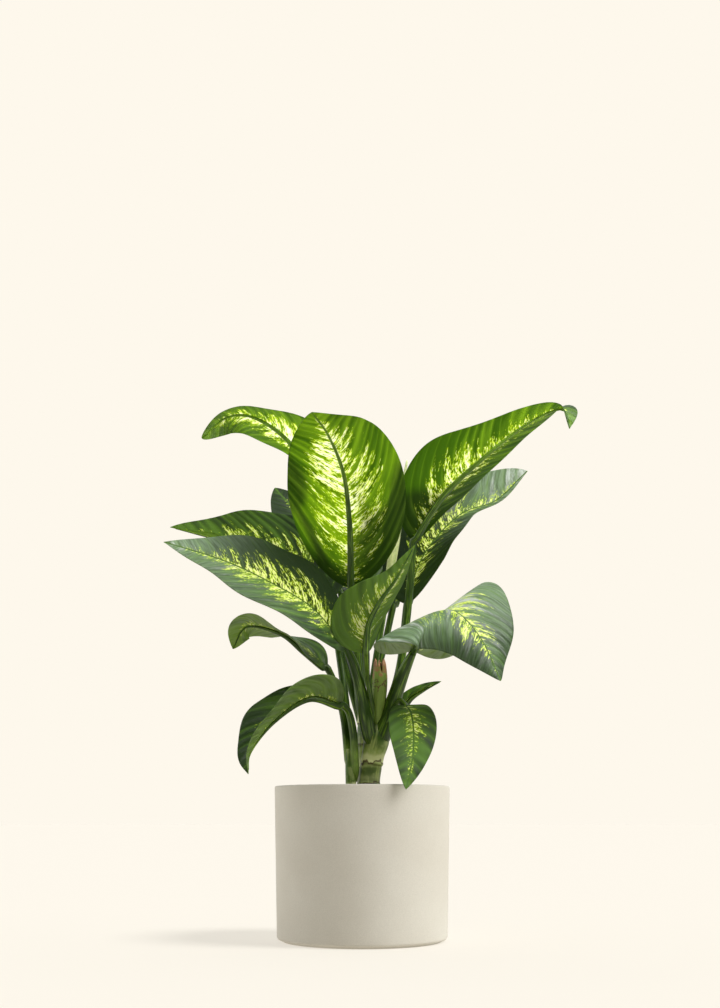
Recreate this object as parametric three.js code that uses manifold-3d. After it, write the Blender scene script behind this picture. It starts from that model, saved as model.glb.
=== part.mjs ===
import * as THREE from 'three';
import { mergeVertices } from 'three/addons/utils/BufferGeometryUtils.js';
import Module from 'manifold-3d';

// Potted dieffenbachia: a stoneware pot, soil, two canes, a side shoot, sixteen leaves,
// one rolled young leaf and one cut sheath. Millimetres, Z up, the origin at the middle
// of the pot's foot. -Y is the front.

// Driving dimensions of the pot and the soil
const POT_HEIGHT = 174;
const RIM_RADIUS = 100;
const BASE_RADIUS = 96.5;
const EDGE_ROUND = 5;
const EDGE_STEPS = 4;
const LIP_BEVEL = 1.5;
const WALL = 6;
const FLOOR = 8;
const FLOOR_CORNER = 6;
const FOOT_INSET = 6;
const FOOT_HEIGHT = 2;
const FOOT_BEVEL = 1;
const POT_SIDES = 48;
const SOIL_TOP = 163;
const SOIL_CROWN = 3;
const SOIL_CROWN_RADIUS = 40;
const SOIL_SHOULDER = 12;
const SOIL_DIP = 3;
const SOIL_CORNER = 7;
const SOIL_SIDES = 36;

// Driving dimensions of the plant
const GAP = 0.3;
const CUT_GAP = GAP + 0.05;
const BLADE_THICK = 1.2;
const END_WIDTH = 1.4;
const ROWS = 11;
const COLUMNS = 6;
const CANE_SIDES = 10;
const STALK_SIDES = 6;
const STALK_STEPS = 4;
const RIB_STEPS = 6;
const RIB_END = 0.9;
const RIB_BASE_RADIUS = 3.5;
const RIB_TIP_RADIUS = 1;
const RIB_SINK = 0.5;

const wasm = await Module();
wasm.setup();

const vector = ([x, y, z]) => new THREE.Vector3(x, y, z);
const curveThrough = (points) => new THREE.CatmullRomCurve3(points, false, 'catmullrom', 0.5);
const asList = (value) => (Array.isArray(value) ? value : [value]);

// A number that is constant, or that runs smoothly through a list from the base to the tip
function along(value, t) {
  const list = asList(value);
  if (list.length === 1) return list[0];
  return curveThrough(list.map((v) => new THREE.Vector3(v, 0, 0))).getPoint(t).x;
}

function solidOf(geometry) {
  const bare = geometry.clone();
  bare.deleteAttribute('normal');
  bare.deleteAttribute('uv');
  const merged = mergeVertices(bare, 1e-3);
  return new wasm.Manifold(new wasm.Mesh({
    numProp: 3,
    vertProperties: merged.attributes.position.array,
    triVerts: new Uint32Array(merged.index.array),
  }));
}

function geometryOf(solid) {
  const mesh = solid.getMesh();
  const geometry = new THREE.BufferGeometry();
  geometry.setAttribute('position', new THREE.BufferAttribute(mesh.vertProperties, 3));
  geometry.setIndex(new THREE.BufferAttribute(mesh.triVerts, 1));
  geometry.computeVertexNormals();
  return geometry;
}

const largest = (solid) => solid.decompose().reduce((a, b) => (a.volume() > b.volume() ? a : b));

// A round stem along a row of centre points, closed at both ends: a capped cylinder whose
// rings are moved to the centres and turned square to the row. The extra makes it that much
// larger all round, ends too.
function stemSolid(centres, radii, sides, extra = 0) {
  const steps = centres.length - 1;
  const cylinder = new THREE.CylinderGeometry(1, 1, steps, sides, steps);
  const position = cylinder.attributes.position;
  const frames = [];
  let across = new THREE.Vector3(1, 0, 0);
  centres.forEach((centre, i) => {
    const before = centres[Math.max(i - 1, 0)];
    const after = centres[Math.min(i + 1, steps)];
    const tangent = after.clone().sub(before).normalize();
    across = across.clone().addScaledVector(tangent, -across.dot(tangent)).normalize();
    const past = (i === steps ? extra : 0) - (i === 0 ? extra : 0);
    frames.push({
      centre: centre.clone().addScaledVector(tangent, past),
      across,
      other: tangent.clone().cross(across),
    });
  });
  for (let v = 0; v < position.count; v += 1) {
    const i = Math.round(position.getY(v) + steps / 2);
    const { centre, across: u, other: w } = frames[i];
    const radius = radii[i] + extra;
    const point = centre.clone()
      .addScaledVector(u, position.getX(v) * radius)
      .addScaledVector(w, -position.getZ(v) * radius);
    position.setXYZ(v, point.x, point.y, point.z);
  }
  return solidOf(cylinder);
}

// A cane or shoot through hand-placed points, with a radius at each
function cane({ path, radius, steps }, extra = 0) {
  const curve = curveThrough(path.map(vector));
  const centres = [];
  const radii = [];
  for (let i = 0; i <= steps; i += 1) {
    centres.push(curve.getPoint(i / steps));
    radii.push(along(radius, i / steps));
  }
  return stemSolid(centres, radii, CANE_SIDES, extra);
}

// Half-width of a blade as a share of its widest: round at the base, pointed at the tip
function outline(t, blunt, taper) {
  const widest = blunt / (blunt + taper);
  const shape = (x) => x ** blunt * (1 - x) ** taper;
  return shape(t) / shape(widest);
}

// The frame of a blade at t: the midrib's point, its direction, the upper face's direction
// and the direction of the right half
function bladeFrame(leaf, t) {
  const rib = curveThrough(leaf.rib.map(vector));
  const tangent = rib.getTangentAt(t);
  const up = curveThrough(leaf.face.map(vector)).getPoint(t);
  up.addScaledVector(tangent, -up.dot(tangent)).normalize();
  return { point: rib.getPointAt(t), tangent, up, right: tangent.clone().cross(up) };
}

// A blade: two grids of points, a blade's thickness apart, sewn together along the margin.
// Each half leaves the midrib at the fold angle and turns by the curl angle towards its margin,
// and a lobe carries the margin back past the stalk at the base.
function bladeSolid(leaf) {
  const { blunt = 0.55, taper = 0.85, wave = 0, waves = 3, lobe = 0 } = leaf;
  const half = COLUMNS / 2;
  const grid = [];
  for (let i = 0; i <= ROWS; i += 1) {
    const t = i / ROWS;
    const { point, tangent, up, right } = bladeFrame(leaf, t);
    const row = Array(COLUMNS + 1);
    row[half] = point;
    [-1, 1].forEach((side) => {
      const hand = side < 0 ? 'left' : 'right';
      const pick = (value) => along(value[hand] === undefined ? value : value[hand], t);
      const share = outline(t, blunt, taper);
      const width = Math.max(pick(leaf.half) * share, END_WIDTH);
      const fold = THREE.MathUtils.degToRad(pick(leaf.fold));
      const curl = THREE.MathUtils.degToRad(pick(leaf.curl));
      let place = point;
      for (let k = 1; k <= half; k += 1) {
        const turn = fold + curl * ((k - 0.5) / half);
        place = place.clone()
          .addScaledVector(right, side * Math.cos(turn) * width / half)
          .addScaledVector(up, Math.sin(turn) * width / half);
        const lift = wave * (k / half) ** 1.5 * Math.sin(Math.PI * t) ** 0.5
          * Math.sin(2 * Math.PI * (waves * t + (side > 0 ? 0.23 : 0)));
        const back = pick(lobe) * share * (k / half) ** 2 * (1 - t) ** 4;
        row[half + side * k] = place.clone().addScaledVector(up, lift).addScaledVector(tangent, -back);
      }
    });
    grid.push(row);
  }
  return solidOf(thickened(grid));
}

function thickened(grid) {
  const rows = grid.length;
  const columns = grid[0].length;
  const positions = [];
  const at = (i, j) => grid[Math.min(Math.max(i, 0), rows - 1)][Math.min(Math.max(j, 0), columns - 1)];
  [0.5, -0.5].forEach((face) => {
    for (let i = 0; i < rows; i += 1) {
      for (let j = 0; j < columns; j += 1) {
        const lengthwise = at(i + 1, j).clone().sub(at(i - 1, j));
        const crosswise = at(i, j + 1).clone().sub(at(i, j - 1));
        const normal = crosswise.cross(lengthwise).normalize();
        const point = at(i, j).clone().addScaledVector(normal, face * BLADE_THICK);
        positions.push(point.x, point.y, point.z);
      }
    }
  });
  const index = [];
  const upper = (i, j) => i * columns + j;
  const lower = (i, j) => rows * columns + upper(i, j);
  const quad = (a, b, c, d) => index.push(a, b, c, a, c, d);
  for (let i = 0; i < rows - 1; i += 1) {
    for (let j = 0; j < columns - 1; j += 1) {
      quad(upper(i, j), upper(i, j + 1), upper(i + 1, j + 1), upper(i + 1, j));
      index.push(lower(i, j), lower(i + 1, j + 1), lower(i, j + 1));
      index.push(lower(i, j), lower(i + 1, j), lower(i + 1, j + 1));
    }
    quad(upper(i, 0), upper(i + 1, 0), lower(i + 1, 0), lower(i, 0));
    quad(upper(i + 1, columns - 1), upper(i, columns - 1), lower(i, columns - 1), lower(i + 1, columns - 1));
  }
  for (let j = 0; j < columns - 1; j += 1) {
    quad(upper(0, j + 1), upper(0, j), lower(0, j), lower(0, j + 1));
    quad(upper(rows - 1, j), upper(rows - 1, j + 1), lower(rows - 1, j + 1), lower(rows - 1, j));
  }
  const geometry = new THREE.BufferGeometry();
  geometry.setAttribute('position', new THREE.Float32BufferAttribute(positions, 3));
  geometry.setIndex(index);
  return geometry;
}

// The stalk and the midrib are one tapering stem, from the cane to just short of the tip
function stalkSolid(leaf, extra = 0) {
  const stalk = curveThrough([...leaf.stalk, leaf.rib[0]].map(vector));
  const centres = [];
  const radii = [];
  for (let i = 0; i <= STALK_STEPS; i += 1) {
    centres.push(stalk.getPoint(i / STALK_STEPS));
    radii.push(along([...leaf.thick, RIB_BASE_RADIUS], i / STALK_STEPS));
  }
  for (let i = 1; i <= RIB_STEPS; i += 1) {
    const t = RIB_END * i / RIB_STEPS;
    const { point, up } = bladeFrame(leaf, t);
    const radius = THREE.MathUtils.lerp(RIB_BASE_RADIUS, RIB_TIP_RADIUS, i / RIB_STEPS);
    centres.push(point.clone().addScaledVector(up, RIB_SINK - radius));
    radii.push(radius);
  }
  return stemSolid(centres, radii, STALK_SIDES, extra);
}

// Canes, from below the soil's surface to where their leaves part
const CANES = {
  main_cane: {
    path: [[7, -8, 146], [8, -8, 180], [12, -9, 207], [17, -11, 228], [19, -12, 244]],
    radius: [12, 12.2, 12.8, 14.2, 9], steps: 8,
  },
  side_shoot: {
    path: [[-12, -14, 146], [-13, -14, 185], [-14, -13, 216]],
    radius: [6, 6, 5.5], steps: 4,
  },
  back_cane: {
    path: [[4, 34, 146], [4, 36, 215], [4, 40, 282]],
    radius: [10, 10, 9], steps: 6,
  },
};

// Leaves: the stalk's points and radii, the midrib's points, the upper face's direction at
// the base, the middle and the tip, the widest half, and how far each half folds and curls
const LEAVES = {
  leaf_front: {
    stalk: [[2, 26, 258], [-4, 8, 310], [-10, -10, 362]], thick: [5, 4.5, 4],
    rib: [[-13, -22, 400], [-14, -50, 463], [-20, -93, 511], [-35, -143, 538], [-51, -198, 545]],
    face: [[0, 1, 0.1], [0, 1, 0.5], [0.1, 0.9, 1]],
    half: 66, blunt: 0.68, taper: 0.9, fold: 12, curl: -10, wave: 2,
  },
  leaf_upper_right: {
    stalk: [[12, 30, 236], [28, 16, 262], [42, 6, 300], [53, -4, 380]], thick: [6, 5.5, 5, 4.5],
    rib: [[59, -15, 457], [89, -35, 502], [133, -52, 541], [184, -66, 578], [222, -78, 591], [229, -86, 566]],
    face: [[-0.4, 0.8, 0.4], [-0.4, 0.8, 0.4], [-0.3, 0.8, 0.5], [-0.2, 0.7, 0.6], [0.5, -0.8, 0.2]],
    half: { left: [54, 46, 38, 62], right: [56, 54, 28, 28] }, blunt: 0.6, taper: 0.9,
    fold: { left: 42, right: 22 }, curl: -5, wave: 2,
  },
  leaf_right: {
    stalk: [[14, 34, 240], [32, 27, 270], [45, 24, 316]], thick: [6, 6, 5],
    rib: [[53, 25, 390], [68, 42, 440], [90, 55, 477], [124, 65, 511], [166, 74, 529], [206, 80, 568]],
    face: [[-0.5, -0.8, 0.2], [-0.5, -0.8, 0.3], [-0.2, -0.7, 0.6]],
    half: { left: [54, 54, 82], right: [56, 54, 34, 14, 14] }, taper: 0.7, fold: 25, curl: -5, wave: 2,
  },
  leaf_right_drooping: {
    stalk: [[21, -13, 230], [33, -16, 263], [46, -21, 300]], thick: [11.5, 8.8, 7.2],
    rib: [[58, -30, 326], [72, -54, 355], [98, -80, 364], [126, -98, 332], [147, -108, 283]],
    face: [[0.2, 0, 1], [0.3, -0.3, 0.9], [0.6, -0.5, 0.4]],
    half: { left: [62, 72, 48], right: [70, 70, 46] }, blunt: 0.38, taper: 0.75,
    fold: { left: [5, 40, 10], right: [0, -12, -10] },
    curl: { left: [-30, -10, -10], right: [-30, -75, -45] }, lobe: { left: 10, right: 26 }, wave: 2,
  },
  leaf_front_small: {
    stalk: [[9, -18, 236], [11, -26, 262], [6, -42, 292]], thick: [3.5, 3.2, 3],
    rib: [[4, -67, 318], [7, -80, 347], [19, -91, 371], [38, -95, 398], [57, -95, 433]],
    face: [[0.1, 1, 0.2], [0.1, 1, 0.3], [0.1, 0.9, 0.4]],
    half: { left: [30, 34, 40], right: [46, 42, 22, 18] }, blunt: 0.5, taper: 0.95,
    fold: { left: 70, right: [-12, 4, 12] }, curl: 0, wave: 1,
  },
  leaf_left_low: {
    stalk: [[8, -19, 230], [4, -25, 250], [-2, -32, 282], [-10, -43, 310]], thick: [8, 8, 6.5, 5.5],
    rib: [[-18, -53, 327], [-54, -85, 365], [-98, -100, 390], [-148, -105, 413], [-214, -105, 434]],
    face: [[0.2, -0.7, 0.6], [0.2, -0.7, 0.6], [0, -0.8, 0.5]],
    half: { left: [42, 48, 50, 36], right: [57, 57, 62, 50] }, taper: 1, fold: 13, curl: -10, wave: 2,
  },
  leaf_left_back: {
    stalk: [[-14, -6, 212], [-19, 2, 270], [-28, 10, 336]], thick: [4.5, 4.5, 4],
    rib: [[-38, 15, 393], [-74, 30, 437], [-120, 40, 461], [-178, 45, 475], [-232, 45, 488]],
    face: [[0.2, -0.5, 0.8], [0.1, -0.6, 0.8], [0.1, -0.5, 0.8]],
    half: 62, taper: 0.95, fold: 30, curl: 0, wave: 2,
  },
  leaf_top_left: {
    stalk: [[0, 32, 280], [-5, 24, 340], [-12, 15, 420]], thick: [4.5, 4.5, 4],
    rib: [[-38, 10, 512], [-82, 4, 578], [-124, -4, 607], [-158, -10, 606], [-187, -14, 579]],
    face: [[-0.2, 0.3, 0.9], [0.1, 0.35, 0.9], [0.3, 0.4, 0.8]],
    half: { left: [80, 56, 18, 12], right: [4, 19, 38, 18] }, blunt: 0.6, taper: 0.5,
    fold: 10, curl: -20, wave: 1,
  },
  leaf_rear_small: {
    stalk: [[-4, 44, 270], [-10, 47, 330], [-24, 53, 400]], thick: [4, 4, 3.5],
    rib: [[-39, 60, 451], [-65, 85, 495], [-85, 105, 525], [-101, 120, 546], [-112, 130, 561]],
    face: [[0.3, -0.9, 0.3], [0.3, -0.9, 0.3], [0.3, -0.9, 0.3]],
    half: 40, fold: 10, curl: -10, wave: 1,
  },
  leaf_left_twisted: {
    stalk: [[-16, -12, 204], [-21, -12, 250], [-31, -14, 290]], thick: [4.5, 4, 3.5],
    rib: [[-40, -20, 309], [-64, -38, 326], [-90, -50, 344], [-128, -58, 350], [-143, -62, 324]],
    face: [[0.3, -0.7, 0.6], [0, -0.1, 1], [-0.3, 0.8, 0.4]],
    half: { left: [30, 28, 38], right: [56, 40, 26] }, taper: 0.8, fold: [12, -2, 10], curl: -5, wave: 1,
  },
  leaf_left_arching: {
    stalk: [[-8, -16, 192], [-10, -21, 232], [-15, -30, 256]], thick: [4.5, 4.5, 4],
    rib: [[-23, -40, 265], [-59, -60, 271], [-96, -75, 244], [-121, -80, 209], [-123, -80, 185]],
    face: [[0.1, 0.1, 1], [-0.2, -0.2, 0.9], [-0.6, -0.3, 0.5]],
    half: { left: [50, 37, 22, 20], right: [16, 26, 38, 32] }, blunt: 0.65, fold: 42, curl: 0, wave: 1,
  },
  leaf_right_low: {
    stalk: [[18, -16, 224], [30, -22, 252], [41, -24, 270]], thick: [3.5, 3.5, 3],
    rib: [[48, -26, 265], [54, -50, 254], [56, -72, 228], [53, -92, 198], [46, -106, 168]],
    face: [[0.1, -0.6, 0.8], [0, -1, 0.1], [0, -1, 0]],
    half: { left: [28, 25, 21], right: 27 }, blunt: 0.5, fold: 10, curl: -10, wave: 1,
  },
  leaf_right_tiny: {
    stalk: [[15, 2, 218], [28, 8, 240]], thick: [3.5, 3],
    rib: [[43, 10, 262], [55, 18, 278], [73, 22, 289], [93, 25, 298]],
    face: [[-0.5, -0.3, 0.8], [-0.5, -0.3, 0.8], [-0.3, -0.3, 0.8]],
    half: 12, fold: 30, curl: 0,
  },
  leaf_rear_upright: {
    stalk: [[2, 48, 268], [-2, 50, 320], [-6, 56, 370]], thick: [4.5, 4.5, 4],
    rib: [[-10, 66, 410], [-16, 96, 470], [-22, 132, 515], [-26, 172, 540], [-28, 214, 536]],
    face: [[0, -1, 0.3], [0, -0.7, 0.7], [0, 0, 1]],
    half: 52, fold: 14, curl: -10, wave: 2,
  },
  leaf_rear_right: {
    stalk: [[10, 46, 262], [18, 52, 310], [28, 58, 350]], thick: [4.5, 4.5, 4],
    rib: [[38, 66, 396], [56, 92, 450], [76, 124, 490], [94, 160, 512], [106, 198, 508]],
    face: [[-0.5, -0.6, 0.5], [-0.4, -0.4, 0.8], [0, 0, 1]],
    half: 46, fold: 14, curl: -10, wave: 2,
  },
  leaf_rear_left: {
    stalk: [[-2, 46, 252], [-16, 52, 304], [-28, 58, 346]], thick: [4.5, 4.5, 4],
    rib: [[-42, 66, 384], [-70, 90, 424], [-104, 120, 450], [-140, 148, 458], [-172, 172, 446]],
    face: [[0.5, -0.5, 0.5], [0.2, -0.3, 0.9], [-0.2, 0.1, 0.9]],
    half: 44, fold: 14, curl: -10, wave: 2,
  },
};

// Pieces with no blade: the young leaf, still rolled, and the stub of a cut leaf sheath
const ROLLS = {
  rolled_leaf: {
    path: [[8, 37, 274], [25, 29, 380], [38, 27, 460], [47, 28, 516], [54, 30, 566]],
    radius: [4, 4, 5.5, 4.5, 1], steps: 10,
  },
  cut_sheath: {
    path: [[18, -13, 236], [18, -16, 262], [20, -18, 294], [20, -19, 322]],
    radius: [5, 8, 8.5, 6.5], steps: 6,
  },
};

function turned(profile, sides) {
  const lathe = new THREE.LatheGeometry(profile.map(([r, z]) => new THREE.Vector2(r, z)), sides);
  lathe.rotateX(Math.PI / 2);
  return solidOf(lathe);
}

function potSolid() {
  const foot = BASE_RADIUS - FOOT_INSET;
  const inner = RIM_RADIUS - WALL;
  const profile = [[0, 0], [foot - FOOT_BEVEL, 0], [foot, FOOT_HEIGHT]];
  for (let i = 0; i <= EDGE_STEPS; i += 1) {
    const turn = (Math.PI / 2) * (i / EDGE_STEPS);
    profile.push([
      BASE_RADIUS - EDGE_ROUND + EDGE_ROUND * Math.sin(turn),
      FOOT_HEIGHT + EDGE_ROUND * (1 - Math.cos(turn)),
    ]);
  }
  profile.push([RIM_RADIUS, POT_HEIGHT - LIP_BEVEL], [RIM_RADIUS - LIP_BEVEL, POT_HEIGHT]);
  profile.push([inner + LIP_BEVEL, POT_HEIGHT], [inner, POT_HEIGHT - LIP_BEVEL]);
  profile.push([BASE_RADIUS - WALL, FLOOR + FLOOR_CORNER]);
  profile.push([BASE_RADIUS - WALL - FLOOR_CORNER, FLOOR], [0, FLOOR]);
  return turned(profile, POT_SIDES);
}

function soilSolid() {
  const radius = (z) => BASE_RADIUS - WALL + (z - FLOOR) / (POT_HEIGHT - FLOOR) * (RIM_RADIUS - BASE_RADIUS);
  const low = FLOOR + GAP;
  return turned([
    [0, low], [radius(low) - SOIL_CORNER, low],
    [radius(low + SOIL_CORNER) - GAP * 2, low + SOIL_CORNER],
    [radius(SOIL_TOP) - GAP * 2, SOIL_TOP - SOIL_DIP], [radius(SOIL_TOP) - SOIL_SHOULDER, SOIL_TOP],
    [SOIL_CROWN_RADIUS, SOIL_TOP + SOIL_CROWN], [0, SOIL_TOP + SOIL_CROWN],
  ], SOIL_SIDES);
}

const COLOURS = {
  pot: 0xdcd4c4, soil: 0x3a2a20, cane: 0x7f9450, sheath: 0x9aa860, leaf: 0x5c8f3a, young: 0xcfe08a,
};
const plant = new THREE.Group();

function add(name, solid, colour, roughness) {
  const material = new THREE.MeshStandardMaterial({ color: colour, roughness, metalness: 0 });
  const mesh = new THREE.Mesh(geometryOf(solid), material);
  mesh.name = name;
  plant.add(mesh);
}

// Stems first: each one keeps its gap to those before it
const stems = [];
let soil = soilSolid();
Object.entries(CANES).forEach(([name, spec]) => {
  add(name, cane(spec), COLOURS.cane, 0.5);
  stems.push(cane(spec, CUT_GAP));
  soil = soil.subtract(cane(spec, CUT_GAP));
});
const clearOfStems = (solid) => largest(stems.reduce((rest, stem) => rest.subtract(stem), solid));
Object.entries(ROLLS).forEach(([name, spec]) => {
  add(name, clearOfStems(cane(spec)), name === 'rolled_leaf' ? COLOURS.young : COLOURS.sheath, 0.5);
  stems.push(cane(spec, CUT_GAP));
});
Object.entries(LEAVES).forEach(([name, leaf]) => {
  add(name, clearOfStems(bladeSolid(leaf).add(stalkSolid(leaf))), COLOURS.leaf, 0.4);
  stems.push(stalkSolid(leaf, CUT_GAP));
});
add('soil', soil, COLOURS.soil, 0.95);
add('pot', potSolid(), COLOURS.pot, 0.8);

export default plant;
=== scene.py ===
"""Potted dieffenbachia: fine leaves, stalks, canes, soil and stoneware pot over the solid frame."""
import functools
import math
import random

import bpy
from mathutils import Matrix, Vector, noise


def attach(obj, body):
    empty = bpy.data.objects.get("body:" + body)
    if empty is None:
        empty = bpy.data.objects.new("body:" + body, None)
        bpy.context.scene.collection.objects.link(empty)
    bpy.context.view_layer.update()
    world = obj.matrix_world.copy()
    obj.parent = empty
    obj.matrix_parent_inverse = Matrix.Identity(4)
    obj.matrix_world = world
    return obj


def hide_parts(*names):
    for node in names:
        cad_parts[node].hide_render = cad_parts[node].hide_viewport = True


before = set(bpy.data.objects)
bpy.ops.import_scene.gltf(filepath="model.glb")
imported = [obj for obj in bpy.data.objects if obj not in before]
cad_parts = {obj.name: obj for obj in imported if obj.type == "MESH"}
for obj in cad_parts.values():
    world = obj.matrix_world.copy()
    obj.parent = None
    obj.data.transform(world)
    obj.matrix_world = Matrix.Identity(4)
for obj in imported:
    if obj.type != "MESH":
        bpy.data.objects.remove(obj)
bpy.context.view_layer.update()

bl_info = {
    "name": "Potted dieffenbachia",
    "version": (1, 0, 0),
    "blender": (4, 5, 0),
    "location": "View3D > Sidebar > Plant",
    "description": "Dresses the potted dieffenbachia with its leaves, canes, soil, pot and studio",
    "category": "Object",
}

MM = 0.001
QUARTER = math.pi / 2
FULL_TURN = 2 * math.pi

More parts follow.
